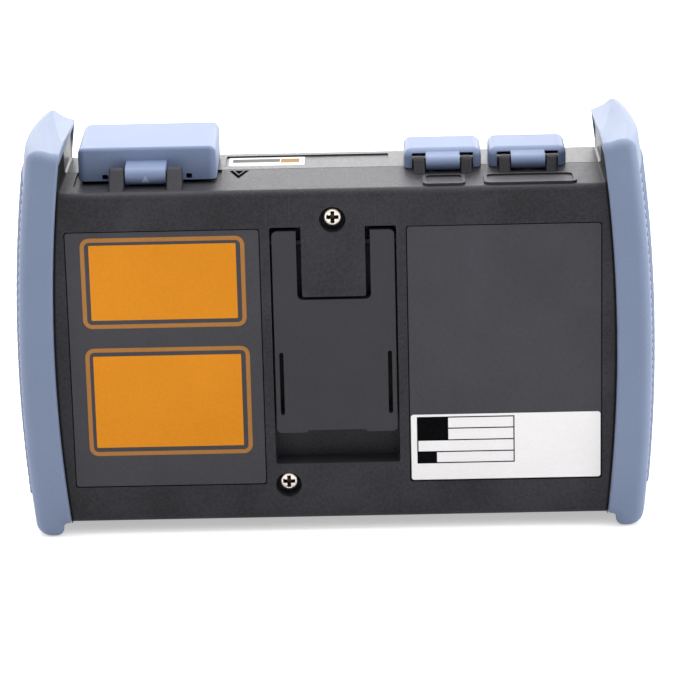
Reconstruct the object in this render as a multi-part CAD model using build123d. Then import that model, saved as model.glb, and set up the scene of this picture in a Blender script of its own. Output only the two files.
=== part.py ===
from build123d import *

import os

# Handheld optical time domain reflectometer. Millimetres, +Z up, feet on Z = 0.
# The screen faces -Y, the stand and labels face +Y, the optical port is at +X.

# Overall size
overall_width = 183.2
overall_height = 113.9
overall_depth = 56.0

# Housing
bumper_proud = 2.5           # rubber above the front and rear faces of the case
foot_height = 3.6            # case bottom above the table
top_face_drop = 12.9         # top face below the horn peaks
ear_drop = 4.4               # case ears below the horn peaks
ear_setback = 14.7           # inner wall of an ear, from the outer end
ear_fillet = 0.8             # hollow rounding at the foot of an ear
wall = 2.2
parting_y = -0.5             # seam between front and rear halves
bezel_depth = 5.0            # front frame, front to back
seam_width = 0.4             # groove along the seam
seam_depth = 0.3
top_front_round = 7.2
top_rear_round = 2.2
bottom_round = 2.0
case_corner_height = 5.5     # bend of the case sides into the bottom and into an ear
case_lean_low = 2.8          # side drawn in where the lower bend starts
case_lean_high = 4.2         # side drawn in where the upper bend starts
case_bend_low = 4.5
case_bend_high = 4.0
grip_gap = 0.3               # general clearance between pieces that move
seat_gap = 0.1               # clearance of pieces that are fixed in a pocket
edge_tol = 0.01              # finds edges and corners by their place

# Rubber ends
bumper_wall = 4.5            # rubber thickness at the sides
bumper_lip = 2.4             # rubber thickness under the end of the case bottom
band_width = 11.9            # rubber on the rear face, at mid height
side_radius = 447.0          # bow of the outer side, seen along Y
side_height = 48.0           # widest point of the outer side
plan_radius = 160.0          # bow of the outer side, seen along Z
bow_turn = 36.0              # degrees turned before the ends are cut flat
toe_radius = 4.4
foot_flat = 1.6              # flat of the foot that meets the table
horn_radius = 3.3
end_curve_share = 0.6        # where the S of a toe or horn turns
foot_draw = 2.6              # inner edge drawn in at the foot
top_draw = 1.4               # inner edge beyond the ear at the top
end_lip_drop = 1.0           # inner end of a horn below its peak, at the rear
scoop_radius = 9.0           # hollow along the inner end of a horn
scoop_drop = 3.7             # bottom of the hollow below the peak, at the front
scoop_shift = 1.0            # middle of the hollow inside the inner edge
lip_flat = 0.7               # level end of the rubber's inner lips
bumper_round = 3.0
bumper_inner_round = 0.7     # rim of the rubber next to the case faces

# Rear stand
stand_half = 17.2
stand_thickness = 3.0
stand_foot_rise = 26.1       # lower edge of the stand above the case bottom
stand_sink = 0.2             # stand below the rear face
stand_hub = 2.9
hub_headroom = 2.2           # hub below the top of the recess
hub_room = 1.4               # behind the hub
stand_head = 3.9             # stand above its hinge axis
stand_notch_half = 10.4
stand_notch_depth = 16.2     # hinge axis to notch bottom
tongue_half = 9.0
tongue_gap = 0.9             # tongue end above the notch bottom
axle_radius = 1.0
axle_fit = 0.05
axle_skin = 0.7              # recess wall left beyond an axle end
recess_top_drop = 10.6       # stand recess below the top face
recess_gap = 0.6             # beside the stand
finger_height = 9.3          # finger hollow below the stand
finger_depth = 7.4
slot_width = 1.2
slot_round_share = 0.48      # corner of a slot, of its width
slot_height = 18.7
slot_inset = 1.8             # slot centre from the stand's side
slot_rise = 5.3              # slot above the stand's lower edge
relief_half = 8.5
relief_height = 0.7
rib_height = 1.6
rib_width = 1.6
stand_corner = 1.4
pocket_corner = 0.6
finger_tuck = 6.0            # finger hollow behind the stand's lower edge

# Rear labels
label_recess = 0.35
label_film = 0.2
label_gap = 0.3              # film inside the recess edge
label_end_margin = 16.1      # recess edge from the outer end
label_inner_margin = 2.7     # recess edge from the stand recess
label_bottom_rise = 10.7     # above the case bottom
label_top_drop = 10.8        # below the top face
label_corner = 0.8
plate_height = 19.6
plate_inset = 0.2            # plate inside the film's edge
plate_thickness = 0.1

# Case screws
upper_screw_drop = 8.7       # below the top face
lower_screw_x = 14.3
lower_screw_rise = 10.4      # above the case bottom
counterbore_radius = 3.75
counterbore_depth = 5.0
head_radius = 2.75
head_height = 2.0
shank_radius = 1.5
shank_tip_gap = 2.4          # screw tip above the bottom of its hole
shank_room = 0.3
crown_share = 0.4            # rounding of a screw head, of its height
boss_radius = 4.6
corner_screw_inset = 10.6    # from the outer end
corner_screw_rise = 15.0     # from the case bottom, and below the top face
corner_bore_radius = 2.6
corner_head_radius = 2.2
corner_head_height = 1.6
corner_shank_radius = 1.1
corner_boss_radius = 3.6
boss_rib = 2.4
seat_fit = 0.02              # radial room of pins and screws that stay put

# Optical port cover
port_cover_width = 39.1
port_cover_end_gap = 5.0     # to the ear
port_cover_rear = 11.3
port_cover_front_gap = 1.5   # behind the front edge of the top face
port_cover_height = 10.6
port_cover_fall = 1.1        # the top falls this much to the rear
cover_wall = 1.6
port_side_round = 2.0
usb_side_round = 2.2
cover_front_round = 2.6
port_rear_round = 1.0
usb_rear_round = 2.4
lug_root = 1.0               # lugs sunk into the top wall
lug_round = 0.7
cover_lift = 0.3             # cover edge above the top face
port_hinge_reach = 4.9       # hinge axis behind the cover
port_hinge_rise = 2.9        # hinge axis above the top face
port_barrel_radius = 2.5
port_barrel_length = 11.4
port_knuckle_rise = 6.2      # knuckle root above the top face
port_lug_width = 4.3
port_lug_foot = 7.8          # lug foot behind the hinge axis
port_pin_radius = 0.8
pin_fit = 0.05
port_slot_width = 1.6
port_slot_height = 1.5
port_slot_rise = 0.3         # slot above the cover's lower edge
port_slot_reach = 1.6        # slot beyond the lug
cover_recess_depth = 0.7
cover_recess_reach = 4.2     # recess behind the cover
cover_recess_side = 1.2      # recess beside the cover

# USB covers
usb_cover_width = 22.0
usb_cover_gap = 2.2          # between the two covers
usb_cover_end_gap = 10.2     # to the ear
usb_cover_rear = 3.6
usb_cover_depth = 15.6
usb_cover_height = 6.2
usb_cover_fall = 0.8
usb_hinge_reach = 2.7
usb_hinge_rise = 2.4
usb_barrel_radius = 2.05
usb_barrel_length = 9.6
usb_knuckle_rise = 5.0       # knuckle root above the top face
usb_lug_width = 3.1
usb_lug_foot = 4.3
usb_pin_radius = 0.6
usb_notch_height = 4.3
usb_notch_gap = 0.5
usb_notch_depth = 1.9
pad_height = 0.7
pad_field = 0.25             # floor of a pad above the top face
pad_depth = 10.6
pad_rear_gap = 2.2           # pad's rear edge to the rear face
pad_rim = 1.0
pad_a_width = 12.0
pad_b_width = 26.0
pad_corner = 2.0

# Top label
top_label_recess_width = 47.0
top_label_recess_depth = 12.4
top_label_front_gap = 2.0    # from the front edge of the top face
top_label_sink = 0.4
top_label_margin = 0.8
top_label_width = 22.0
top_label_depth = 9.8
top_label_film = 0.15
top_label_shift = 7.4        # recess centre from the middle of the case

# Front
bezel_plate = 3.2
glass_thickness = 1.8
glass_sink = 0.2
glass_margin = 4.1           # glass edge to the ear line
glass_bottom_rise = 9.0
glass_top_drop = 10.0
ledge = 4.0
glass_corner = 2.0
lcd_thickness = 5.0
key_column = 27.0
key_proud = 0.8
key_gap = 0.25
key_flange = 0.8
key_flange_thick = 1.0
key_stem_radius = 1.4
key_stem_length = 1.6
key_travel = 0.6
key_rest = 0.1
dome_radius = 2.0
dome_height = 0.5
small_key = (10.5, 6.5)
large_key = (10.5, 9.0)
arrow_key = (7.5, 5.6)
enter_radius = 4.6
power_radius = 3.6
key_corner = 1.8
key_pitch = 13.0             # between the two columns of keys
arrow_reach = 9.4            # arrow keys from the enter key
row_shares = (0.115, 0.149, 0.161, 0.217)    # room above each row of keys, of the height left free
key_crown = 0.4
key_post_radius = 2.2
key_board_top = 6.5          # board above the power key's middle
key_board_bottom = 10.5      # board below the large keys' middle

# Electronics
board_setback = 7.7          # rear face of the main board in front of the seam
cavity_side_gap = 1.9        # cavity side inside the line of the ears
board_thickness = 1.6
board_edge_gap = 1.0
cavity_corner = 2.0
end_wall = 3.6               # case wall at the ends, behind the rubber
key_board_thickness = 1.2
post_size = 6.0
board_screw_radius = 1.0
board_screw_head = 1.9
board_screw_length = 3.4
board_head_height = 1.1
usb_a_size = (13.1, 5.7, 14.0)
usb_b_size = (7.5, 2.8, 6.0)
socket_skin = 0.35
socket_mouth = 0.4           # mouth below the top face
socket_gap = 0.4
socket_floor_share = 0.33    # closed end of a socket, of its length
tongue_share = 0.32          # contact tongue, of the socket's height
tongue_side = 1.4            # tongue inside the socket's sides
tongue_drop = 0.7            # tongue end below the mouth
adapter_y = -4.6
adapter_radius = 4.0
adapter_rise = 6.4           # barrel above the top face
adapter_tail = 8.0           # barrel below the flange
adapter_flange = 13.0
adapter_flange_thick = 2.0
adapter_recess_radius = 3.2
adapter_recess = 5.4
sleeve_radius = 1.75
sleeve_drop = 0.8            # sleeve end below the rim
ferrule_radius = 1.25
ferrule_depth = 10.0
pigtail_radius = 0.9
module_width = 40.0
module_depth = 24.0
module_rise = 14.0           # module above the cavity floor
pigtail_length = 17.0        # module top to the adapter
battery_depth = 17.0
battery_rise = 12.0          # battery above the cavity floor
battery_top_gap = 17.0
battery_inner_gap = 4.0      # battery to the stand housing
battery_end_gap = 5.0        # battery to the end of the cavity

# Derived places
half_width = overall_width / 2
mid_z = overall_height / 2
rubber_rear = overall_depth / 2
case_rear = rubber_rear - bumper_proud
case_front = -case_rear
case_bottom = foot_height
case_top = overall_height - top_face_drop
ear_top = overall_height - ear_drop
ear_inner = half_width - ear_setback
bezel_back = case_front + bezel_depth
top_front = case_front + top_front_round
end_bottom = case_bottom + bumper_lip
end_bow = rubber_rear ** 2 / (2 * plan_radius)
bumper_inner_foot = half_width - band_width - foot_draw
bumper_inner_top = ear_inner - top_draw

pocket_top = case_top - recess_top_drop
pivot_z = pocket_top - stand_hub - hub_headroom
stand_rear = case_rear - stand_sink
pivot_y = stand_rear - stand_hub
stand_low = case_bottom + stand_foot_rise
pocket_half = stand_half + recess_gap
pocket_floor = pivot_y - stand_hub - hub_room
pocket_low = stand_low - finger_height
tongue_low = pivot_z - stand_notch_depth + tongue_gap
housing_half = pocket_half + wall
axle_half = housing_half - axle_skin

label_outer = half_width - label_end_margin
label_inner = pocket_half + label_inner_margin
label_low = case_bottom + label_bottom_rise
label_high = case_top - label_top_drop

upper_screw_z = case_top - upper_screw_drop
lower_screw_z = case_bottom + lower_screw_rise
screw_seat = case_rear - counterbore_depth
corner_x = half_width - corner_screw_inset
corner_low = case_bottom + corner_screw_rise
corner_high = case_top - corner_screw_rise

port_x = ear_inner - port_cover_end_gap - port_cover_width / 2
port_hinge_y = port_cover_rear + port_hinge_reach
port_hinge_z = case_top + port_hinge_rise
port_lug_x = port_barrel_length / 2 + grip_gap + port_lug_width / 2
usb_b_x = -(ear_inner - usb_cover_end_gap - usb_cover_width / 2)
usb_a_x = usb_b_x + usb_cover_width + usb_cover_gap
usb_hinge_y = usb_cover_rear + usb_hinge_reach
usb_hinge_z = case_top + usb_hinge_rise
usb_lug_x = usb_barrel_length / 2 + grip_gap + usb_lug_width / 2

glass_left = -(ear_inner - glass_margin)
glass_right = ear_inner - glass_margin - key_column
glass_low = case_bottom + glass_bottom_rise
glass_high = case_top - glass_top_drop
glass_front = case_front + glass_sink
glass_back = glass_front + glass_thickness
plate_back = case_front + bezel_plate
lcd_back = glass_back + lcd_thickness
flange_front = plate_back + key_rest
flange_back = flange_front + key_flange_thick
stem_end = flange_back + key_stem_length
dome_top = stem_end + key_travel + key_rest
key_board_front = dome_top + dome_height
key_x = glass_right + key_column / 2
key_heights = 2 * power_radius + small_key[1] + 2 * arrow_reach + arrow_key[1] + large_key[1]
key_free = glass_high - glass_low - key_heights
power_z = glass_high - row_shares[0] * key_free - power_radius
small_z = power_z - power_radius - row_shares[1] * key_free - small_key[1] / 2
up_z = small_z - small_key[1] / 2 - row_shares[2] * key_free - arrow_key[1] / 2
enter_z = up_z - arrow_reach
down_z = enter_z - arrow_reach
large_z = down_z - arrow_key[1] / 2 - row_shares[3] * key_free - large_key[1] / 2

board_rear = parting_y - board_setback
board_front = board_rear - board_thickness
screw_end = board_rear + grip_gap
shank_length = screw_seat - screw_end - shank_tip_gap
cavity_half = ear_inner - cavity_side_gap
cavity_low = case_bottom + wall
cavity_high = case_top - wall
cavity_rear = case_rear - wall
board_half = cavity_half - board_edge_gap
board_low = cavity_low + board_edge_gap
board_high = cavity_high - board_edge_gap
post_x = board_half - post_size / 2
usb_floor = case_top - socket_mouth
top_label_y = top_front + top_label_front_gap + top_label_recess_depth / 2
adapter_top = case_top + adapter_rise
adapter_low = cavity_high - adapter_flange_thick - adapter_tail
module_low = cavity_low + module_rise
module_high = adapter_low - pigtail_length


def block(x, y, z):
    """Box between two limits on each axis."""
    size = (x[1] - x[0], y[1] - y[0], z[1] - z[0])
    middle = ((x[0] + x[1]) / 2, (y[0] + y[1]) / 2, (z[0] + z[1]) / 2)
    return Pos(*middle) * Box(*size)


def along_y(face, y):
    """A face drawn in X and Z, extruded between two depths."""
    return extrude(Plane.XZ.offset(-y[1]) * face, amount=y[1] - y[0])


def along_x(face, x):
    """A face drawn in Y and Z, extruded between two widths."""
    return extrude(Plane.YZ.offset(x[0]) * face, amount=x[1] - x[0])


def rod_x(x, y, z, radius):
    """Round bar along X."""
    return along_x(Pos(y, z) * Circle(radius), x)


def rod_y(x, y, z, radius):
    """Round bar along Y."""
    return along_y(Pos(x, z) * Circle(radius), y)


def rod_z(x, y, z, radius):
    """Round bar along Z."""
    return Pos(x, y, z[0]) * extrude(Circle(radius), amount=z[1] - z[0])


def rounded(x, z, radius):
    """Rounded rectangle in X and Z between limits."""
    sheet = RectangleRounded(x[1] - x[0], z[1] - z[0], radius)
    return Pos((x[0] + x[1]) / 2, (z[0] + z[1]) / 2) * sheet


def end_corner(radius, z):
    """Centre of a corner rounding that touches the bowed side from inside, and its touch point."""
    bow = Vector(half_width - side_radius, side_height)
    reach = ((side_radius - radius) ** 2 - (z - side_height) ** 2) ** 0.5
    centre = Vector(bow.X + reach, z)
    return centre, bow + (centre - bow) * (side_radius / (side_radius - radius))


def end_curve(start, end, tangent):
    """Two arcs in an S from a toe or a horn to the inner edge of the rubber."""
    middle = Vector(*start) + (Vector(*end) - Vector(*start)) * end_curve_share
    first = TangentArc(start, middle, tangent=tangent)
    return [first, TangentArc(middle, end, tangent=first % 1)]


def end_face():
    """Middle section of one rubber end, on the +X side, with room inside its inner edge."""
    toe_centre, low = end_corner(toe_radius, toe_radius)
    horn_centre, high = end_corner(horn_radius, overall_height - horn_radius)
    side = ThreePointArc(low, (half_width, side_height), high)
    toe = TangentArc(low, (toe_centre.X, 0), tangent=-(side % 0))
    horn = TangentArc(high, (horn_centre.X, overall_height), tangent=side % 1)
    foot_in = (bumper_inner_foot + end_bow + lip_flat, case_bottom)
    top_in = (bumper_inner_top + end_bow + lip_flat, overall_height - end_lip_drop)
    sole_in = (toe_centre.X - foot_flat, 0)
    sole = Line((toe_centre.X, 0), sole_in)
    foot = end_curve(sole_in, foot_in, toe % 1)
    top = end_curve((horn_centre.X, overall_height), top_in, horn % 1)
    room = bumper_inner_top - 2 * end_bow
    inner = Polyline(foot_in, (room, foot_in[1]), (room, top_in[1]), top_in)
    return make_face([side, toe, sole, *foot, inner, *top, horn])


def inner_trim():
    """Everything inside the straight inner edge of the rubber, on the +X side."""
    low = (bumper_inner_foot, case_bottom)
    high = (bumper_inner_top, overall_height - end_lip_drop)
    edge = ThreePointArc(low, (half_width - band_width, (case_bottom + case_top) / 2), high)
    over = Polyline(high, (high[0], 2 * overall_height), (0, 2 * overall_height))
    under = Polyline((0, 2 * overall_height), (0, -overall_height), (low[0], -overall_height), low)
    return along_y(make_face([edge, over, under]), (-overall_depth, overall_depth))


def case_face():
    """Outline of the case, seen along Y: a seat between two ears."""
    side_x = half_width - bumper_wall
    low = (side_x - case_lean_low, end_bottom + case_corner_height)
    high = (side_x - case_lean_high, ear_top - case_corner_height)
    bend_low = (low[0] - case_bend_low, end_bottom)
    bend_high = (high[0] - case_bend_high, ear_top)
    side = ThreePointArc(low, (side_x, mid_z), high)
    bottom_bend = TangentArc(low, bend_low, tangent=-(side % 0))
    top_bend = TangentArc(high, bend_high, tangent=side % 1)
    step = [(bumper_inner_foot, end_bottom), (bumper_inner_foot, case_bottom)]
    under = Polyline(bend_low, *step, (0, case_bottom))
    over = Polyline((0, case_top), (ear_inner, case_top), (ear_inner, ear_top), bend_high)
    middle = Line((0, case_bottom), (0, case_top))
    half = make_face([side, bottom_bend, under, middle, over, top_bend])
    return half + mirror(half, Plane.YZ)


def side_face():
    """Section of the case between the ears, seen along X."""
    outline = Pos(0, (case_bottom + case_top) / 2) * Rectangle(2 * case_rear, case_top - case_bottom)
    low_corners = outline.vertices().sort_by(Axis.Y)[:2]
    outline = fillet(low_corners, bottom_round)
    outline = fillet(outline.vertices().sort_by(Axis.Y)[-2:].sort_by(Axis.X)[0], top_front_round)
    return fillet(outline.vertices().sort_by(Axis.Y)[-2:].sort_by(Axis.X)[-1], top_rear_round)


def ear_hollow(side):
    """Strip that rounds the foot of an ear into the top face."""
    corner = (ear_inner - ear_fillet / 2, case_top + ear_fillet / 2)
    strip = Pos(*corner) * Rectangle(ear_fillet, ear_fillet)
    strip -= Pos(ear_inner - ear_fillet, case_top + ear_fillet) * Circle(ear_fillet)
    solid = along_y(strip, (top_front, case_rear - top_rear_round))
    return solid if side > 0 else mirror(solid, Plane.YZ)


def case_block():
    """Outer form of the whole case, before it is split and hollowed."""
    seat = along_y(case_face(), (case_front, case_rear))
    middle = seat & along_x(side_face(), (-ear_inner, ear_inner))
    between = block((-ear_inner, ear_inner), (2 * case_front, 2 * case_rear), (0, overall_height))
    ends = seat - between
    return middle + ends + ear_hollow(1) + ear_hollow(-1)


def cavity(y):
    """Room inside the case between two depths."""
    middle = rounded((-cavity_half, cavity_half), (cavity_low, cavity_high), cavity_corner)
    end_half = half_width - bumper_wall - wall - end_wall
    ends = rounded((-end_half, end_half), (end_bottom + end_wall, cavity_high), cavity_corner)
    return along_y(middle, y) + along_y(ends, y)


def seam_groove():
    """Shallow groove around the case, along the seam."""
    outline = case_face()
    ring = outline - offset(outline, -seam_depth)
    return along_y(ring, (parting_y, parting_y + seam_width))


def lug(x, width, hinge_y, hinge_z, radius, foot):
    """Hinge lug: a fin that stands on the top face and holds a pin."""
    eye = Pos(hinge_y, hinge_z) * Circle(radius)
    sole = Line((hinge_y - radius, case_top - lug_root), (hinge_y + foot, case_top - lug_root))
    fin = make_hull(eye.edges() + sole.edges())
    body = along_x(fin, (x - width / 2, x + width / 2))
    sides = body.faces().sort_by(Axis.X)
    rims = sides[0].edges() + sides[-1].edges()
    return fillet(rims.filter_by(lambda e: e.center().Z > case_top - lug_root + edge_tol), lug_round)


def cover_lugs():
    """All hinge lugs of the three covers."""
    lugs = []
    for side in (-1, 1):
        port = (port_lug_width, port_hinge_y, port_hinge_z, port_barrel_radius, port_lug_foot)
        lugs.append(lug(port_x + side * port_lug_x, *port))
        usb = (usb_lug_width, usb_hinge_y, usb_hinge_z, usb_barrel_radius, usb_lug_foot)
        for middle in (usb_a_x, usb_b_x):
            lugs.append(lug(middle + side * usb_lug_x, *usb))
    return lugs


def pin_span(middle, lug_x, lug_width):
    """Ends of a hinge pin along X, flush with the outer sides of its lugs."""
    reach = lug_x + lug_width / 2
    return (middle - reach, middle + reach)


def pin_holes(fit):
    """Bores of the three hinge pins, or the pins themselves with no fit."""
    port = pin_span(port_x, port_lug_x, port_lug_width)
    holes = [rod_x(port, port_hinge_y, port_hinge_z, port_pin_radius + fit)]
    for middle in (usb_a_x, usb_b_x):
        span = pin_span(middle, usb_lug_x, usb_lug_width)
        holes.append(rod_x(span, usb_hinge_y, usb_hinge_z, usb_pin_radius + fit))
    return holes


def sign_pad(middle, width):
    """Raised pad behind a USB cover, with a rim around a shallow field."""
    rear = case_rear - pad_rear_gap
    place = Pos(middle, rear - pad_depth / 2, case_top)
    pad = extrude(RectangleRounded(width, pad_depth, pad_corner), amount=pad_height)
    inner = RectangleRounded(width - 2 * pad_rim, pad_depth - 2 * pad_rim, pad_corner - pad_rim / 2)
    pad -= Pos(0, 0, pad_field) * extrude(inner, amount=pad_height)
    return place * pad


def stand_pocket():
    """Room that the stand folds into, with the finger hollow below it."""
    back = case_rear + wall
    sides = (-pocket_half, pocket_half)
    pocket = along_y(rounded(sides, (pocket_low, pocket_top), pocket_corner), (pocket_floor, back))
    hollow = rounded(sides, (pocket_low, stand_low + finger_tuck), pocket_corner)
    pocket += along_y(hollow, (case_rear - finger_depth, back))
    tongue = rounded((-tongue_half, tongue_half), (tongue_low, pocket_top + pocket_corner), pocket_corner)
    return pocket - along_y(tongue, (pocket_floor - wall, back + wall))


def screw_places():
    """Case screws on the rear face, as X and Z."""
    return [(0, upper_screw_z), (lower_screw_x, lower_screw_z)]


def corner_places():
    """Case screws under the rubber ends, as X and Z."""
    return [(side * corner_x, z) for side in (-1, 1) for z in (corner_low, corner_high)]


def rear_case():
    """Rear half of the case: a tub with the stand recess, lugs and screw bosses."""
    slab = block((-half_width, half_width), (parting_y, case_rear), (0, overall_height))
    body = (case_block() & slab) - cavity((parting_y, cavity_rear))
    body -= seam_groove()
    deep = case_rear - finger_depth - wall
    tall = (pocket_low - wall, cavity_high + wall / 2)
    body += block((-housing_half, housing_half), (deep, case_rear - wall / 2), tall)
    body -= stand_pocket()
    for x, z in screw_places():
        body += rod_y(x, (parting_y, cavity_rear + wall / 2), z, boss_radius)
        body -= rod_y(x, (parting_y, case_rear), z, shank_radius + shank_room)
        body -= rod_y(x, (screw_seat, case_rear), z, counterbore_radius)
    for x, z in corner_places():
        body += rod_y(x, (parting_y, cavity_rear + wall / 2), z, corner_boss_radius)
        body -= rod_y(x, (parting_y, case_rear), z, corner_shank_radius + shank_room)
        body -= rod_y(x, (screw_seat, case_rear), z, corner_bore_radius)
    for side in (-1, 1):
        span = (label_inner, label_outer) if side > 0 else (-label_outer, -label_inner)
        sheet = rounded(span, (label_low, label_high), label_corner)
        body -= along_y(sheet, (case_rear - label_recess, case_rear))
    half = port_cover_width / 2 + cover_recess_side
    body -= block(
        (port_x - half, port_x + half),
        (parting_y, port_cover_rear + cover_recess_reach),
        (case_top - cover_recess_depth, case_top),
    )
    body += cover_lugs()
    body += sign_pad(usb_a_x, pad_a_width)
    body += sign_pad(usb_b_x, pad_b_width)
    body -= pin_holes(seat_fit)
    body -= rod_x((-axle_half, axle_half), pivot_y, pivot_z, axle_radius + seat_fit)
    return body


def post_places():
    """Main board posts, as X and Z, with the wall that each post grows from."""
    spots = []
    for side in (-1, 1):
        spots.append((side * post_x, board_low + post_size / 2, cavity_low - wall / 2))
        spots.append((side * post_x, board_high - post_size / 2, cavity_high + wall / 2))
    return spots


def front_case():
    """Front half of the case: an open frame with the connector openings on top."""
    slab = block((-half_width, half_width), (bezel_back, parting_y), (0, overall_height))
    body = (case_block() & slab) - cavity((bezel_back, parting_y))
    for x, z, root in post_places():
        low, high = sorted((root, z + post_size / 2 if root < z else z - post_size / 2))
        body += block((x - post_size / 2, x + post_size / 2), (bezel_back, board_front), (low, high))
        body -= rod_y(x, (board_front - board_screw_length, board_front), z, board_screw_radius + seat_fit)
    for x, z in screw_places():
        root = cavity_high + wall / 2 if z > mid_z else cavity_low - wall / 2
        low, high = sorted((root, z))
        body += rod_y(x, (screw_end, parting_y), z, boss_radius)
        body += block((x - boss_rib / 2, x + boss_rib / 2), (screw_end, parting_y), (low, high))
        body -= rod_y(x, (screw_end, parting_y), z, shank_radius + seat_fit)
    for x, z in corner_places():
        body += rod_y(x, (screw_end, parting_y), z, corner_boss_radius)
        body -= rod_y(x, (screw_end, parting_y), z, corner_shank_radius + seat_fit)
    over = (cavity_high - wall, case_top + wall)
    body -= rod_z(port_x, adapter_y, over, adapter_radius + socket_gap)
    for middle, size in ((usb_a_x, usb_a_size), (usb_b_x, usb_b_size)):
        half = size[0] / 2 + socket_gap
        mouth = (board_rear - socket_gap, board_rear + size[1] + socket_gap)
        body -= block((middle - half, middle + half), mouth, over)
    body -= Pos(top_label_shift, top_label_y, case_top - top_label_sink) * extrude(
        RectangleRounded(top_label_recess_width, top_label_recess_depth, label_corner), amount=wall
    )
    return body


def key_faces():
    """Outline and place of each key on the front, by node name."""
    left = key_x - key_pitch / 2
    right = key_x + key_pitch / 2
    small = RectangleRounded(*small_key, key_corner)
    large = RectangleRounded(*large_key, key_corner)
    arrow = RectangleRounded(*arrow_key, key_corner)
    upright = RectangleRounded(arrow_key[1], arrow_key[0], key_corner)
    return {
        "key_power": (right, power_z, Circle(power_radius)),
        "key_menu": (left, small_z, small),
        "key_escape": (right, small_z, small),
        "key_up": (key_x, up_z, arrow),
        "key_down": (key_x, down_z, arrow),
        "key_left": (key_x - arrow_reach, enter_z, upright),
        "key_right": (key_x + arrow_reach, enter_z, upright),
        "key_enter": (key_x, enter_z, Circle(enter_radius)),
        "key_realtime": (left, large_z, large),
        "key_average": (right, large_z, large),
    }


def glass_sheet(inset, corner):
    """Outline of the screen glass, drawn in by an inset."""
    sides = (glass_left + inset, glass_right - inset)
    return rounded(sides, (glass_low + inset, glass_high - inset), corner)


def front_bezel():
    """Black front frame with the glass pocket, the key holes and board posts."""
    slab = block((-half_width, half_width), (case_front, bezel_back), (0, overall_height))
    body = (case_block() & slab) - cavity((plate_back, bezel_back))
    body -= along_y(glass_sheet(-seat_gap, glass_corner + seat_gap), (case_front, glass_back))
    body -= along_y(glass_sheet(ledge, glass_corner), (case_front, bezel_back))
    for x, z, face in key_faces().values():
        body -= along_y(Pos(x, z) * offset(face, key_gap), (case_front, bezel_back))
    for x, z in key_board_posts():
        body += rod_y(x, (plate_back, key_board_front), z, key_post_radius)
        hole = (key_board_front - board_screw_length, key_board_front)
        body -= rod_y(x, hole, z, board_screw_radius + seat_fit)
    return body


def key_board_posts():
    """Posts behind the bezel that carry the key board, as X and Z."""
    low, high = key_board_span()
    inset = key_post_radius + seat_gap
    return [(key_x - key_pitch / 2, high - inset), (key_x, low + inset)]


def key_board_span():
    """Lower and upper edge of the key board."""
    return (large_z - key_board_bottom, power_z + key_board_top)


def key(x, z, face):
    """One key: cap through the bezel, retaining flange behind it, stem over a dome."""
    cap = along_y(Pos(x, z) * face, (case_front - key_proud, flange_back))
    crown = cap.edges().filter_by(lambda e: e.center().Y < case_front - key_proud + edge_tol)
    cap = fillet(crown, key_crown)
    cap += along_y(Pos(x, z) * offset(face, key_flange), (flange_front, flange_back))
    return cap + rod_y(x, (flange_back, stem_end), z, key_stem_radius)


def key_board():
    """Key board with its dome switches."""
    half = key_column / 2 - board_edge_gap
    back = key_board_front + key_board_thickness
    outline = rounded((key_x - half, key_x + half), key_board_span(), key_corner)
    sheet = along_y(outline, (key_board_front, back))
    for x, z in key_board_posts():
        sheet -= rod_y(x, (key_board_front, back), z, board_screw_radius + seat_fit)
    for x, z, face in key_faces().values():
        sheet += rod_y(x, (dome_top, key_board_front), z, dome_radius)
    return sheet


def main_board():
    """Main board, notched under the optical adapter."""
    outline = rounded((-board_half, board_half), (board_low, board_high), key_corner)
    sheet = along_y(outline, (board_front, board_rear))
    reach = adapter_flange / 2 + board_edge_gap
    notch = (adapter_low - board_edge_gap, board_high)
    sheet -= block((port_x - reach, port_x + reach), (board_front, board_rear), notch)
    for x, z, root in post_places():
        sheet -= rod_y(x, (board_front, board_rear), z, board_screw_radius + seat_fit)
    for x, z in screw_places():
        sheet -= rod_y(x, (board_front, board_rear), z, shank_radius + shank_room)
    return sheet


def screw(x, z, seat, head, height, radius, length):
    """Pan-head screw along Y, with its head towards the rear."""
    body = rod_y(x, (seat, seat + height), z, head)
    crown = body.edges().filter_by(lambda e: e.center().Y > seat + height - edge_tol)
    body = fillet(crown, height * crown_share)
    return body + rod_y(x, (seat - length, seat), z, radius)


def case_screws():
    """The two screws in the rear counterbores."""
    sizes = (head_radius, head_height, shank_radius, shank_length)
    return [screw(x, z, screw_seat, *sizes) for x, z in screw_places()]


def corner_screws():
    """The four screws under the rubber ends."""
    sizes = (corner_head_radius, corner_head_height, corner_shank_radius, shank_length)
    return [screw(x, z, screw_seat, *sizes) for x, z in corner_places()]


def board_screws():
    """Screws of the main board and of the key board."""
    sizes = (board_screw_head, board_head_height, board_screw_radius, board_screw_length)
    screws = [screw(x, z, board_rear, *sizes) for x, z, root in post_places()]
    back = key_board_front + key_board_thickness
    return screws + [screw(x, z, back, *sizes) for x, z in key_board_posts()]


def horn_scoop():
    """Round bar that hollows the inner end of a horn, deeper towards the front."""
    x = bumper_inner_top - scoop_shift
    front = Vector(x, -rubber_rear, overall_height - scoop_drop + scoop_radius)
    rear = Vector(x, rubber_rear, overall_height + scoop_radius)
    way = rear - front
    return extrude(Plane(origin=front - way / 2, z_dir=way) * Circle(scoop_radius), amount=2 * way.length)


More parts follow.
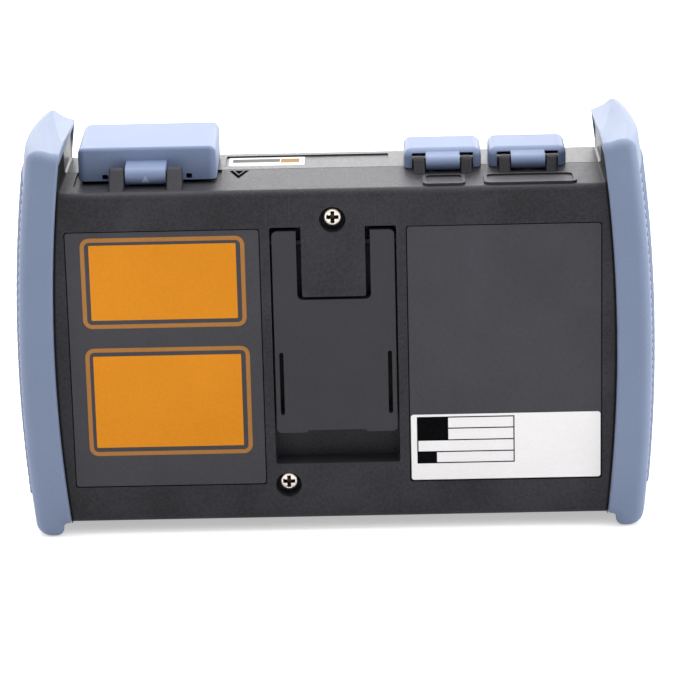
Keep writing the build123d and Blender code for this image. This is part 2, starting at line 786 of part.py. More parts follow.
def bumper(side):
    """Rubber end: wraps the end of the case front, rear, under and over."""
    axis = Axis((half_width - plan_radius, 0, 0), (0, 0, 1))
    turn = revolve(Plane.XZ * end_face(), axis, revolution_arc=bow_turn)
    turn = turn.rotate(axis, -bow_turn / 2)
    slab = block((0, 2 * half_width), (-rubber_rear, rubber_rear), (-wall, 2 * overall_height))
    body = turn & slab
    rims = body.edges().filter_by(lambda e: abs(abs(e.center().Y) - rubber_rear) < edge_tol)
    outer = rims.filter_by(lambda e: e.center().X > half_width - bumper_wall - toe_radius / 2)
    body = fillet(outer, bumper_round) - inner_trim()
    rims = body.edges().filter_by(lambda e: abs(abs(e.center().Y) - rubber_rear) < edge_tol)
    inner = rims.filter_by(lambda e: abs(e.center().X - (half_width - band_width)) < band_width / 4)
    body = fillet(inner.sort_by(SortBy.LENGTH)[-2:], bumper_inner_round)
    body -= case_block()
    body -= block((0, ear_inner), (case_front, case_rear), (case_top, ear_top))
    body -= horn_scoop()
    return body if side > 0 else mirror(body, Plane.YZ)


def cover_shell(x, y, z, fall, rear_round, front_round, side_round):
    """Hollow cover: a box open below, its top falling to the rear."""
    corners = [(y[0], z[0]), (y[1], z[0]), (y[1], z[1] - fall), (y[0], z[1])]
    outline = make_face(Polyline(*corners, close=True))
    tops = outline.vertices().sort_by(Axis.Y)[-2:].sort_by(Axis.X)
    outline = fillet(tops[0], front_round)
    tops = outline.vertices().filter_by(lambda v: v.X > y[1] - edge_tol and v.Y > z[0] + edge_tol)
    outline = fillet(tops, rear_round)
    body = along_x(outline, x)
    ends = body.faces().sort_by(Axis.X)
    rims = ends[0].edges() + ends[-1].edges()
    body = fillet(rims.filter_by(lambda e: e.center().Z > z[0] + edge_tol), side_round)
    inside = [(low + cover_wall, high - cover_wall) for low, high in (x, y)]
    return body - block(*inside, (z[0], z[1] - fall - cover_wall))


def knuckle(x, wall_y, root, hinge_y, hinge_z, radius):
    """Hinge barrel of a cover, joined to its rear wall."""
    barrel = Pos(hinge_y, hinge_z) * Circle(radius)
    stem = Line((wall_y, hinge_z - radius), (wall_y, root))
    return along_x(make_hull(barrel.edges() + stem.edges()), x)


def port_cover():
    """Wide cover over the optical port."""
    half = port_cover_width / 2
    low = case_top + cover_lift
    front = top_front + port_cover_front_gap
    body = cover_shell(
        (port_x - half, port_x + half), (front, port_cover_rear), (low, low + port_cover_height),
        port_cover_fall, port_rear_round, cover_front_round, port_side_round,
    )
    reach = port_barrel_length / 2
    span = (port_x - reach, port_x + reach)
    root = case_top + port_knuckle_rise
    barrel = (port_hinge_y, port_hinge_z, port_barrel_radius)
    body += knuckle(span, port_cover_rear - cover_wall / 2, root, *barrel)
    for side in (-1, 1):
        middle = port_x + side * (port_lug_x + port_lug_width / 2 + port_slot_reach)
        body -= block(
            (middle - port_slot_width / 2, middle + port_slot_width / 2),
            (port_cover_rear - 2 * cover_wall, port_cover_rear + cover_wall),
            (low + port_slot_rise, low + port_slot_rise + port_slot_height),
        )
    return body - rod_x(span, port_hinge_y, port_hinge_z, port_pin_radius + pin_fit)


def usb_cover(middle):
    """Small cover over a USB socket, notched around its hinge lugs."""
    half = usb_cover_width / 2
    low = case_top + cover_lift
    deep = (usb_cover_rear - usb_cover_depth, usb_cover_rear)
    body = cover_shell(
        (middle - half, middle + half), deep, (low, low + usb_cover_height),
        usb_cover_fall, usb_rear_round, cover_front_round, usb_side_round,
    )
    reach = usb_barrel_length / 2
    span = (middle - reach, middle + reach)
    root = case_top + usb_knuckle_rise
    barrel = (usb_hinge_y, usb_hinge_z, usb_barrel_radius)
    body += knuckle(span, usb_cover_rear - cover_wall / 2, root, *barrel)
    for side in (-1, 1):
        place = middle + side * usb_lug_x
        notch = usb_lug_width / 2 + usb_notch_gap
        inner = place - side * notch
        inner = middle + side * reach if abs(inner - middle) < reach else inner
        body -= block(
            tuple(sorted((inner, place + side * notch))),
            (usb_cover_rear - usb_notch_depth, usb_cover_rear + cover_wall),
            (low, low + usb_notch_height),
        )
    return body - rod_x(span, usb_hinge_y, usb_hinge_z, usb_pin_radius + pin_fit)


def stand():
    """Flip-out stand: a plate with two hinge arms, flex slots and stiffening ribs."""
    plate = rounded((-stand_half, stand_half), (stand_low, pivot_z + stand_head), stand_corner)
    notch = (pivot_z - stand_notch_depth, pivot_z + 2 * stand_head)
    plate -= rounded((-stand_notch_half, stand_notch_half), notch, stand_corner)
    relief = (stand_low - 2 * relief_height, stand_low + relief_height)
    plate -= rounded((-relief_half, relief_half), relief, relief_height / 2)
    for side in (-1, 1):
        middle = side * (stand_half - slot_inset)
        low = stand_low + slot_rise
        sides = (middle - slot_width / 2, middle + slot_width / 2)
        plate -= rounded(sides, (low, low + slot_height), slot_width * slot_round_share)
    body = along_y(plate, (stand_rear - stand_thickness, stand_rear))
    for side in (-1, 1):
        arm = tuple(sorted((side * stand_notch_half, side * stand_half)))
        body += rod_x(arm, pivot_y, pivot_z, stand_hub)
        rib_x = side * (stand_half - 2 * slot_inset - rib_width)
        inner = stand_rear - stand_thickness
        body += block(
            (rib_x - rib_width / 2, rib_x + rib_width / 2), (inner - rib_height, inner),
            (stand_low + 2 * rib_width, pivot_z - stand_hub),
        )
    return body - rod_x((-stand_half, stand_half), pivot_y, pivot_z, axle_radius + axle_fit)


def stand_axle():
    """Steel axle through the tongue, both arms and the recess walls."""
    reach = axle_half - seat_fit
    return rod_x((-reach, reach), pivot_y, pivot_z, axle_radius)


def label(side):
    """Film in one of the rear recesses."""
    span = (label_inner + label_gap, label_outer - label_gap)
    span = span if side > 0 else (-span[1], -span[0])
    floor = case_rear - label_recess
    sheet = rounded(span, (label_low + label_gap, label_high - label_gap), label_corner)
    return along_y(sheet, (floor, floor + label_film))


def plate_label():
    """Pale plate on the lower part of the right film."""
    edge = label_gap + plate_inset
    low = label_low + edge
    floor = case_rear - label_recess + label_film
    span = (edge - label_outer, -label_inner - edge)
    return along_y(rounded(span, (low, low + plate_height), label_corner), (floor, floor + plate_thickness))


def top_label():
    """Small sticker at one end of the recess on the top face."""
    end = top_label_shift + top_label_recess_width / 2 - top_label_margin
    sheet = RectangleRounded(top_label_width, top_label_depth, label_corner / 2)
    place = Pos(end - top_label_width / 2, top_label_y, case_top - top_label_sink)
    return place * extrude(sheet, amount=top_label_film)


def usb_socket(middle, size):
    """USB socket on the main board: a folded shell, a floor and a contact tongue."""
    width, height, length = size
    low = usb_floor - length
    half = width / 2
    back = board_rear + height
    body = block((middle - half, middle + half), (board_rear, back), (low, usb_floor))
    floor = low + length * socket_floor_share
    inside = half - socket_skin
    body -= block(
        (middle - inside, middle + inside), (board_rear + socket_skin, back - socket_skin), (floor, usb_floor)
    )
    shift = height * (1 - tongue_share) / 2
    inside = half - tongue_side
    return body + block(
        (middle - inside, middle + inside), (board_rear + shift, back - shift), (low, usb_floor - tongue_drop)
    )


def optical_adapter():
    """Fibre adapter: round barrel with a ceramic sleeve, held by a square flange."""
    body = rod_z(port_x, adapter_y, (adapter_low, adapter_top), adapter_radius)
    edge = adapter_flange / 2
    body += block(
        (port_x - edge, port_x + edge),
        (adapter_y - edge, parting_y - grip_gap),
        (cavity_high - adapter_flange_thick, cavity_high),
    )
    recess = adapter_top - adapter_recess
    mouth = adapter_top - sleeve_drop
    body -= rod_z(port_x, adapter_y, (recess, adapter_top), adapter_recess_radius)
    body += rod_z(port_x, adapter_y, (recess, mouth), sleeve_radius)
    return body - rod_z(port_x, adapter_y, (mouth - ferrule_depth, mouth), ferrule_radius)


def optical_module():
    """Laser and receiver block on the rear of the main board."""
    half = module_width / 2
    deep = (board_rear, board_rear + module_depth)
    body = block((port_x - half, port_x + half), deep, (module_low, module_high))
    return fillet(body.edges().filter_by(Axis.Y), key_corner)


def fibre_pigtail():
    """Fibre in its jacket, straight from the module up to the adapter."""
    return rod_z(port_x, adapter_y, (module_high, adapter_low), pigtail_radius)


def battery_pack():
    """Lithium pack that lies on the rear wall."""
    sides = (battery_end_gap - cavity_half, -(housing_half + battery_inner_gap))
    deep = (cavity_rear - battery_depth, cavity_rear)
    body = block(sides, deep, (cavity_low + battery_rise, cavity_high - battery_top_gap))
    return fillet(body.edges().filter_by(Axis.Z), key_corner)


def screen_glass():
    """Touch glass in the pocket of the bezel."""
    return along_y(glass_sheet(0, glass_corner), (glass_front, glass_back))


def lcd_module():
    """Display behind the glass."""
    return along_y(glass_sheet(ledge + seat_gap, glass_corner), (glass_back, lcd_back))


def pieces():
    """Every piece by node name."""
    made = {
        "rear_case": rear_case(),
        "front_case": front_case(),
        "front_bezel": front_bezel(),
        "bumper_left": bumper(1),
        "bumper_right": bumper(-1),
        "port_cover": port_cover(),
        "usb_cover_a": usb_cover(usb_a_x),
        "usb_cover_b": usb_cover(usb_b_x),
        "stand": stand(),
        "stand_axle": stand_axle(),
        "label_left": label(1),
        "label_right": label(-1),
        "plate_label": plate_label(),
        "top_label": top_label(),
        "case_screws": case_screws(),
        "corner_screws": corner_screws(),
        "board_screws": board_screws(),
        "screen_glass": screen_glass(),
        "lcd_module": lcd_module(),
        "key_board": key_board(),
        "main_board": main_board(),
        "usb_socket_a": usb_socket(usb_a_x, usb_a_size),
        "usb_socket_b": usb_socket(usb_b_x, usb_b_size),
        "optical_adapter": optical_adapter(),
        "optical_module": optical_module(),
        "fibre_pigtail": fibre_pigtail(),
        "battery_pack": battery_pack(),
    }
    made["port_cover_pin"], made["usb_pin_a"], made["usb_pin_b"] = pin_holes(0)
    for name, place in key_faces().items():
        made[name] = key(*place)
    return made


os.makedirs("parts", exist_ok=True)
for name, piece in pieces().items():
    solids = piece if isinstance(piece, list) else [piece]
    export_step(Compound(children=[s for p in solids for s in p.solids()]), f"parts/{name}.step")
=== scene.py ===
import math

import bmesh
import bpy
from mathutils import Matrix, Vector


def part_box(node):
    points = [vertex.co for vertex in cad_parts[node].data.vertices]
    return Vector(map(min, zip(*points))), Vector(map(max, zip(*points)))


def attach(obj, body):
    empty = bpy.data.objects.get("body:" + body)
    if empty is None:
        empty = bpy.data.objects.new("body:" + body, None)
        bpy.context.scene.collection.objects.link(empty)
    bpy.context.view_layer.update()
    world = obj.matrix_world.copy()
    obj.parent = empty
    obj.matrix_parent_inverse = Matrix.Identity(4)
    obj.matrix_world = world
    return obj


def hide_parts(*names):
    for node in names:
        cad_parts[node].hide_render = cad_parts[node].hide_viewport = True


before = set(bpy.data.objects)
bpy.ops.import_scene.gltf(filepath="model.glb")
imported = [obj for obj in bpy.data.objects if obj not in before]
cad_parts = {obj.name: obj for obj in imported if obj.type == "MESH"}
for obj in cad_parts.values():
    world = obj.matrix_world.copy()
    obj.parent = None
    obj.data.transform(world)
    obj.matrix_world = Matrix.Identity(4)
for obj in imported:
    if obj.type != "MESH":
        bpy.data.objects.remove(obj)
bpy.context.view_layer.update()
scene = bpy.context.scene

# Case halves
# Two dark grey ABS mouldings, screwed together from the rear. The tool has a spark-eroded
# grain, which breaks up the gloss and gives the faces a fine, dry speckle.
MM = 0.001
CLOUD_SHARE = 0.45
COLOUR_SPAN = (0.35, 0.65)
GLOSS_SPAN = (0.3, 0.7)


def linear(hex_colour):
    """Turns an sRGB hex value into a linear RGBA colour."""
    parts = [int(hex_colour[i:i + 2], 16) / 255 for i in (1, 3, 5)]
    parts = [c / 12.92 if c <= 0.04045 else ((c + 0.055) / 1.055) ** 2.4 for c in parts]
    return (*parts, 1.0)


def put(tree, kind, sockets=None, **settings):
    """Adds a node, sets its properties, and fills or links its inputs."""
    made = tree.nodes.new(kind)
    for name, value in settings.items():
        setattr(made, name, value)
    for name, value in (sockets or {}).items():
        if isinstance(value, bpy.types.NodeSocket):
            tree.links.new(value, made.inputs[name])
        else:
            made.inputs[name].default_value = value
    return made


def finish(name, dark, light, grain_mm, rough, bump_mm=0.0, cloud_mm=18.0, **sockets):
    """A surface with a grain of a real size in its gloss and relief, and a slow drift of colour."""
    material = bpy.data.materials.new(name)
    material.use_nodes = True
    tree = material.node_tree
    tree.nodes.clear()
    place = put(tree, "ShaderNodeTexCoord").outputs["Object"]
    grain = put(tree, "ShaderNodeTexNoise", {"Vector": place, "Scale": 1 / (grain_mm * MM), "Detail": 3.0})
    cloud = put(tree, "ShaderNodeTexNoise", {"Vector": place, "Scale": 1 / (cloud_mm * MM), "Detail": 2.0})
    drift = put(tree, "ShaderNodeMix", {
        "Factor": CLOUD_SHARE, "A": grain.outputs["Fac"], "B": cloud.outputs["Fac"],
    })
    spread = put(tree, "ShaderNodeMapRange", {
        "Value": drift.outputs["Result"], "From Min": COLOUR_SPAN[0], "From Max": COLOUR_SPAN[1],
    })
    colour = put(tree, "ShaderNodeMix", {"Factor": spread.outputs["Result"]}, data_type="RGBA")
    for socket in colour.inputs:
        if socket.type == "RGBA":
            socket.default_value = linear(dark if socket.name == "A" else light)
    gloss = put(tree, "ShaderNodeMapRange", {
        "Value": grain.outputs["Fac"], "From Min": GLOSS_SPAN[0], "From Max": GLOSS_SPAN[1],
        "To Min": rough[0], "To Max": rough[1],
    })
    tinted = [s for s in colour.outputs if s.type == "RGBA"][0]
    shader = put(tree, "ShaderNodeBsdfPrincipled", {
        "Base Color": tinted, "Roughness": gloss.outputs["Result"], **sockets,
    })
    if bump_mm:
        relief = put(tree, "ShaderNodeBump", {
            "Height": grain.outputs["Fac"], "Strength": 1.0, "Distance": bump_mm * MM,
        })
        tree.links.new(relief.outputs["Normal"], shader.inputs["Normal"])
    put(tree, "ShaderNodeOutputMaterial", {"Surface": shader.outputs["BSDF"]})
    return material


def dress(material, *nodes):
    """Gives CAD nodes their finish."""
    for name in nodes:
        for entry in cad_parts[name].material_slots:
            entry.material = material


# Spark-grained ABS: dry and dark, with a soft grey gloss at low angles.
# The grain is really about 0.1 mm and is drawn at 0.6 mm, so that it shows.
LOW_SHINE = {"Specular IOR Level": 0.2}
case_abs = finish("spark_grained_abs", "#1C1B1F", "#343339", 0.6, (0.42, 0.56), 0.08, **LOW_SHINE)
dress(case_abs, "rear_case")
# Painted shade: a black, dull line along the rubber's inner edge and in the corners of the ears, where the
# gap and the corners lie in shadow.
# That edge is an arc, given by its middle and its radius.
EDGE_MIDDLE = (-367.465, 0.0, 51.754)
EDGE_RADIUS = 447.166
EDGE_WIDE = (0.8, 0.5)
EDGE_SHADE_BLACK = "#0D0D11"
EDGE_DULL = 0.85


def paint_edge_shade(material):
    """Paints shade into a material: black and dull beside the rubber's edge."""
    tree = material.node_tree
    shader = next(n for n in tree.nodes if n.type == "BSDF_PRINCIPLED")
    place = put(tree, "ShaderNodeTexCoord").outputs["Object"]
    flat = put(tree, "ShaderNodeVectorMath", {0: place, 1: (1.0, 0.0, 1.0)}, operation="MULTIPLY")
    folded = put(tree, "ShaderNodeVectorMath", {0: flat.outputs[0]}, operation="ABSOLUTE")
    middle = [c * MM for c in EDGE_MIDDLE]
    reach = put(tree, "ShaderNodeVectorMath", {0: folded.outputs[0], 1: middle}, operation="DISTANCE")
    near = put(tree, "ShaderNodeMapRange", {
        "Value": reach.outputs["Value"],
        "From Min": (EDGE_RADIUS - EDGE_WIDE[0]) * MM, "From Max": (EDGE_RADIUS - EDGE_WIDE[1]) * MM,
    }).outputs["Result"]
    tinted = shader.inputs["Base Color"].links[0].from_socket
    # The painted shade: black mixed into the colour beside the rubber's edge.
    shaded = put(tree, "ShaderNodeMix", {"Factor": near}, data_type="RGBA")
    for socket in shaded.inputs:
        if socket.type == "RGBA" and socket.name == "A":
            tree.links.new(tinted, socket)
        elif socket.type == "RGBA":
            socket.default_value = linear(EDGE_SHADE_BLACK)
    tree.links.new([s for s in shaded.outputs if s.type == "RGBA"][0], shader.inputs["Base Color"])
    gloss = shader.inputs["Roughness"].links[0].from_socket
    dull = put(tree, "ShaderNodeMix", {"Factor": near, "A": gloss, "B": EDGE_DULL})
    tree.links.new(dull.outputs["Result"], shader.inputs["Roughness"])


paint_edge_shade(case_abs)
# The front half has a smoother grain, so that its top catches more light.
smooth_abs = finish("smooth_grained_abs", "#2A292D", "#3A393E", 0.6, (0.32, 0.44), 0.02, **LOW_SHINE)
dress(smooth_abs, "front_case")

# Upper band of the rear face
# Four fine witness lines run up from the stand recess, where the inserts of the mould meet.
# They stand a few hundredths of a millimetre proud of the face.
WITNESS_X = (-18.6, -12.1, 12.1, 18.6)
WITNESS_Z = (90.6, 99.4)
WITNESS_WIDE = 0.22
WITNESS_PROUD = 0.05


def round_rect(x, z, radius, steps=6):
    """Points around a rectangle with rounded corners."""
    points = []
    corners = ((x[1], z[1], 0), (x[0], z[1], 1), (x[0], z[0], 2), (x[1], z[0], 3))
    for corner_x, corner_z, quarter in corners:
        middle_x = corner_x + (radius if corner_x == x[0] else -radius)
        middle_z = corner_z + (radius if corner_z == z[0] else -radius)
        for i in range(steps + 1):
            turn = math.radians(90 * (quarter + i / steps))
            points.append((middle_x + radius * math.cos(turn), middle_z + radius * math.sin(turn)))
    return points


def box_points(x, z):
    """Points around a plain rectangle."""
    return [(x[1], z[1]), (x[0], z[1]), (x[0], z[0]), (x[1], z[0])]


def inlay(name, shapes, level, thick, material, body, facing="rear"):
    """Thin flat pieces on a face: each shape is an outline, or an outline and the hole in it."""
    shell = bmesh.new()

    def corner(point, height):
        place = {
            "rear": (point[0], height, point[1]),
            "front": (point[0], -height, point[1]),
            "top": (point[0], point[1], height),
        }[facing]
        return shell.verts.new(Vector(place) * MM)

    for shape in shapes:
        loops = shape if isinstance(shape[0], list) else [shape]
        rows = [[corner(p, h) for p in loop] for loop in loops for h in (level, level + thick)]
        for low, high in zip(rows[::2], rows[1::2]):
            for i in range(len(low)):
                shell.faces.new((low[i - 1], low[i], high[i], high[i - 1]))
        if len(loops) == 1:
            shell.faces.new(rows[0])
            shell.faces.new(rows[1])
        else:
            for outer, inner in ((rows[0], rows[2]), (rows[1], rows[3])):
                for i in range(len(outer)):
                    shell.faces.new((outer[i - 1], outer[i], inner[i], inner[i - 1]))
    bmesh.ops.recalc_face_normals(shell, faces=shell.faces)
    mesh = bpy.data.meshes.new(name)
    shell.to_mesh(mesh)
    shell.free()
    mesh.materials.append(material)
    piece = bpy.data.objects.new(name, mesh)
    scene.collection.objects.link(piece)
    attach(piece, body)


rear_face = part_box("rear_case")[1].y / MM
witness_shapes = [
    box_points((x - WITNESS_WIDE / 2, x + WITNESS_WIDE / 2), WITNESS_Z) for x in WITNESS_X
]
witness_foot, witness_thick = rear_face - WITNESS_PROUD, 2 * WITNESS_PROUD
# The lines take the front half's lighter finish: painted highlight along their raised edges.
inlay("witness_lines", witness_shapes, witness_foot, witness_thick, smooth_abs, "case")

# Seam shadow
# A thin black strip lies in the groove along the seam of the halves, at the top and the bottom.
# It is painted shadow, standing for the shade in that groove.
TOP_FACE = 101.0
SEAM = (-0.5, -0.1)
SEAM_RUNS = ((-76.0, 31.5), (73.2, 76.0))
SEAM_SHADOW_DEEP = 0.28
SEAM_SHADOW_SUNK = 0.04
seam_shadow_black = finish("painted_seam_shadow", "#0E0E10", "#151518", 0.5, (0.5, 0.65), **LOW_SHINE)
case_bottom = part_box("rear_case")[0].z / MM
top_runs = [box_points(run, SEAM) for run in SEAM_RUNS]
bottom_run = [box_points((SEAM_RUNS[0][0], SEAM_RUNS[1][1]), SEAM)]
seam_shadow_thick = SEAM_SHADOW_DEEP - SEAM_SHADOW_SUNK
top_level, bottom_level = TOP_FACE - SEAM_SHADOW_DEEP, case_bottom + SEAM_SHADOW_SUNK
# Painted shadow strips in the seam groove.
inlay("seam_shadow_top", top_runs, top_level, seam_shadow_thick, seam_shadow_black, "case", facing="top")
inlay("seam_shadow_bottom", bottom_run, bottom_level, seam_shadow_thick, seam_shadow_black, "case", facing="top")

# Front frame
# A black ABS frame that closes the front of the case, with holes for the keys.
# It is grained like the case, but darker.
bezel_abs = finish("black_grained_abs", "#111114", "#18181C", 0.5, (0.4, 0.55), 0.02, **LOW_SHINE)
dress(bezel_abs, "front_bezel")

# Screen
# Toughened cover glass with a black printed border, over a liquid crystal panel that is off.
# It is glued into the pocket of the front frame.
BORDER = 5.5
BORDER_BLACK = "#08090B"
PANEL_GREY = "#15181B"


def screen_material():
    """Glass with a coating against glare: black under the border, and a dark grey panel inside it."""
    coated = {"IOR": 1.52, "Specular IOR Level": 0.3}
    material = finish("dark_cover_glass", BORDER_BLACK, "#0A0B0D", 2.0, (0.04, 0.07), **coated)
    tree = material.node_tree
    shader = next(n for n in tree.nodes if n.type == "BSDF_PRINCIPLED")
    low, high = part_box("screen_glass")
    middle = (low + high) / 2
    place = put(tree, "ShaderNodeTexCoord").outputs["Object"]
    apart = put(tree, "ShaderNodeSeparateXYZ", {"Vector": place})
    inside = None
    for axis, name in ((0, "X"), (2, "Z")):
        half = (high - low)[axis] / 2 - BORDER * MM
        shift = put(tree, "ShaderNodeMath", {0: apart.outputs[name], 1: middle[axis]}, operation="SUBTRACT")
        reach = put(tree, "ShaderNodeMath", {0: shift.outputs[0]}, operation="ABSOLUTE")
        within = put(tree, "ShaderNodeMath", {0: reach.outputs[0], 1: half}, operation="LESS_THAN")
        if inside is None:
            inside = within.outputs[0]
        else:
            both = put(tree, "ShaderNodeMath", {0: inside, 1: within.outputs[0]}, operation="MULTIPLY")
            inside = both.outputs[0]
    panel = put(tree, "ShaderNodeMix", {"Factor": inside}, data_type="RGBA")
    for socket in panel.inputs:
        if socket.type == "RGBA":
            socket.default_value = linear(BORDER_BLACK if socket.name == "A" else PANEL_GREY)
    tree.links.new([s for s in panel.outputs if s.type == "RGBA"][0], shader.inputs["Base Color"])
    return material


dress(screen_material(), "screen_glass")
panel_glass = finish("display_panel", "#15171A", "#191B1F", 1.0, (0.2, 0.3))
dress(panel_glass, "lcd_module")

# Keys
# Ten caps of light grey silicone-coated plastic that press metal domes on the key board.
# Their signs are printed in dark ink on the flat tops.
key_skin = finish("key_silicone", "#8E9299", "#989CA3", 0.4, (0.45, 0.6), 0.01)
sign_ink = finish("dark_sign_ink", "#1E1F23", "#26272B", 0.6, (0.4, 0.55))
KEYS = ("power", "menu", "escape", "up", "down", "left", "right", "enter", "realtime", "average")
INK = 0.03
SIGN = 1.5
SIGN_BASE = 0.7
RING_RADII = (1.7, 1.25)
RING_ARC = range(130, 411, 20)
POWER_BAR = ((-0.22, 0.22), (0.3, 2.1))
ENTER_RINGS = ((1.6, 1.59), (1.2, 1.19))
PLAIN_BAR = ((-2.4, 2.4), (-0.25, 0.25))
dress(key_skin, *["key_" + key for key in KEYS])


def turned(points, degrees, middle):
    """Points turned about the origin, then moved to a key's middle."""
    cos, sin = math.cos(math.radians(degrees)), math.sin(math.radians(degrees))
    return [(middle[0] + x * cos - z * sin, middle[1] + x * sin + z * cos) for x, z in points]


def key_sign(key):
    """Sign on a key: triangles on the arrows, a ring and a bar for power, plain bars on the rest."""
    low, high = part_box("key_" + key)
    middle = ((low.x + high.x) / 2 / MM, (low.z + high.z) / 2 / MM)
    triangle = [(0, SIGN), (-SIGN, -SIGN_BASE * SIGN), (SIGN, -SIGN_BASE * SIGN)]
    turns = {"up": 0, "left": 90, "down": 180, "right": -90}
    if key in turns:
        shapes = [turned(triangle, turns[key], middle)]
    elif key == "power":
        angles = [math.radians(degrees) for degrees in RING_ARC]
        outer, inner = ([(r * math.cos(a), r * math.sin(a)) for a in angles] for r in RING_RADII)
        shapes = [turned(outer + inner[::-1], 0, middle), turned(box_points(*POWER_BAR), 0, middle)]
    elif key == "enter":
        shapes = [[turned(round_rect((-h, h), (-h, h), r), 0, middle) for h, r in ENTER_RINGS]]
    else:
        shapes = [turned(box_points(*PLAIN_BAR), 0, middle)]
    name = "key_" + key
    inlay(name + "_sign", shapes, -low.y / MM, INK, sign_ink, name, facing="front")


for key in KEYS:
    key_sign(key)

# Boards and what is soldered to them
# Glass-fibre boards under a green solder mask, with tin-plated sockets.
# The screws that hold them are zinc-plated steel.
mask = finish("green_solder_mask", "#124A2C", "#185A36", 1.2, (0.3, 0.45), 0.01)
dress(mask, "key_board", "main_board")
zinc = finish("zinc_plated_steel", "#B9BABD", "#C9CACC", 0.3, (0.25, 0.4), Metallic=1.0)
dress(zinc, "board_screws")
nickel = finish("nickel_plated_brass", "#B4B1AA", "#C6C3BB", 0.4, (0.18, 0.32), Metallic=1.0)
dress(nickel, "usb_socket_a", "usb_socket_b", "optical_adapter")

# Optical module, fibre and battery
# A milled aluminium block holds the lasers and the receiver, and a jacketed fibre runs up from it.
# The battery is a pack of cells in shrink film.
module_metal = finish("milled_aluminium", "#B3B5B8", "#C1C3C6", 0.8, (0.3, 0.45), Metallic=1.0)
dress(module_metal, "optical_module")
jacket = finish("yellow_fibre_jacket", "#D8B21E", "#E2BC2A", 0.5, (0.35, 0.5))
dress(jacket, "fibre_pigtail")
wrap = finish("blue_shrink_film", "#1B2338", "#232C44", 2.5, (0.2, 0.32), 0.02)
dress(wrap, "battery_pack")

# Case screws
# Two pan-head screws with cross recesses, sunk in counterbores of the rear face.
# Their heads are bright nickel-plated steel, and the recess is dark brown.
# The screws under the rubber ends, the hinge pins and the stand's axle are black steel.
HEAD_RADIUS = 2.75
HEAD_HEIGHT = 2.0
RECESS_REACH = 1.9
RECESS_WIDE = 0.95
RECESS_DEEP = 1.35
RECESS_OVER = 0.5
RECESS_TAPER = (0.35, 1.15)
RECESS_FLOOR = 0.7
SHANK_RADIUS = 1.5
SHANK_LENGTH = 6.0
SCREW_FACETS = 32
bright_head = finish("nickel_plated_screw", "#CFC6BC", "#E0D8CF", 0.5, (0.22, 0.36), Metallic=1.0)
dark_recess = finish("dark_brown_recess", "#2A211C", "#3A2F28", 0.3, (0.4, 0.6), Metallic=0.6)
corner_black = finish("black_oxide_steel", "#17171A", "#202024", 0.3, (0.35, 0.5), Metallic=0.8)
dress(corner_black, "corner_screws", "stand_axle", "port_cover_pin", "usb_pin_a", "usb_pin_b")


def turned_mesh(name, profile, segments):
    """A closed shape of revolution about Y, from radius and depth pairs."""
    shell = bmesh.new()
    rows = []
    for radius, depth in profile:
        if radius == 0:
            rows.append([shell.verts.new((0, depth * MM, 0))])
            continue
        row = []
        for i in range(segments):
            turn = 2 * math.pi * i / segments
            point = Vector((radius * math.cos(turn), depth, radius * math.sin(turn)))
            row.append(shell.verts.new(point * MM))
        rows.append(row)
    for first, second in zip(rows, rows[1:]):
        for i in range(segments):
            corners = [first[i - 1 if len(first) > 1 else 0], first[i if len(first) > 1 else 0],
                       second[i if len(second) > 1 else 0], second[i - 1 if len(second) > 1 else 0]]
            shell.faces.new(list(dict.fromkeys(corners)))
    bmesh.ops.recalc_face_normals(shell, faces=shell.faces)
    for face in shell.faces:
        face.smooth = True
    mesh = bpy.data.meshes.new(name)
    shell.to_mesh(mesh)
    shell.free()
    return mesh


def cross_mesh(name):
    """Cutter for a cross recess: two crossed wedges that taper as they go in."""
    shell = bmesh.new()
    low, high = HEAD_HEIGHT - RECESS_DEEP, HEAD_HEIGHT + RECESS_OVER
    for turn in (0, 90):
        spin = Matrix.Rotation(math.radians(turn), 3, "Y")
        corners = {}
        for depth, share in zip((low, high), RECESS_TAPER):
            for side in (-1, 1):
                for across in (-1, 1):
                    wide = RECESS_WIDE * (RECESS_FLOOR + (1 - RECESS_FLOOR) * share)
                    point = Vector((side * RECESS_REACH * share, depth, across * wide / 2)) * MM
                    corners[depth, side, across] = shell.verts.new(spin @ point)
        ring = ((-1, -1), (1, -1), (1, 1), (-1, 1))
        shell.faces.new([corners[low, *c] for c in ring])
        shell.faces.new([corners[high, *c] for c in ring])
        for i in range(4):
            a, b = ring[i - 1], ring[i]
            shell.faces.new((corners[low, *a], corners[low, *b], corners[high, *b], corners[high, *a]))
    bmesh.ops.recalc_face_normals(shell, faces=shell.faces)
    mesh = bpy.data.meshes.new(name)
    shell.to_mesh(mesh)
    shell.free()
    return mesh


def settle(piece):
    """Turns a piece with live modifiers into a plain mesh."""
    bpy.context.view_layer.update()
    depsgraph = bpy.context.evaluated_depsgraph_get()
    mesh = bpy.data.meshes.new_from_object(piece.evaluated_get(depsgraph))
    piece.modifiers.clear()
    piece.data = mesh


def set_inputs(piece, tree, values):
    """Adds a node modifier and sets its named inputs by their identifiers."""
    modifier = piece.modifiers.new(tree.name, "NODES")
    modifier.node_group = tree
    for item in tree.interface.items_tree:
        if item.item_type == "SOCKET" and item.in_out == "INPUT" and item.name in values:
            modifier[item.identifier] = values[item.name]


def new_tree(name, inputs):
    """A geometry node tree with named inputs for its sizes."""
    tree = bpy.data.node_groups.new(name, "GeometryNodeTree")
    tree.interface.new_socket("Geometry", in_out="INPUT", socket_type="NodeSocketGeometry")
    for label, kind in inputs:
        tree.interface.new_socket(label, in_out="INPUT", socket_type=kind)
    tree.interface.new_socket("Geometry", in_out="OUTPUT", socket_type="NodeSocketGeometry")
    return tree


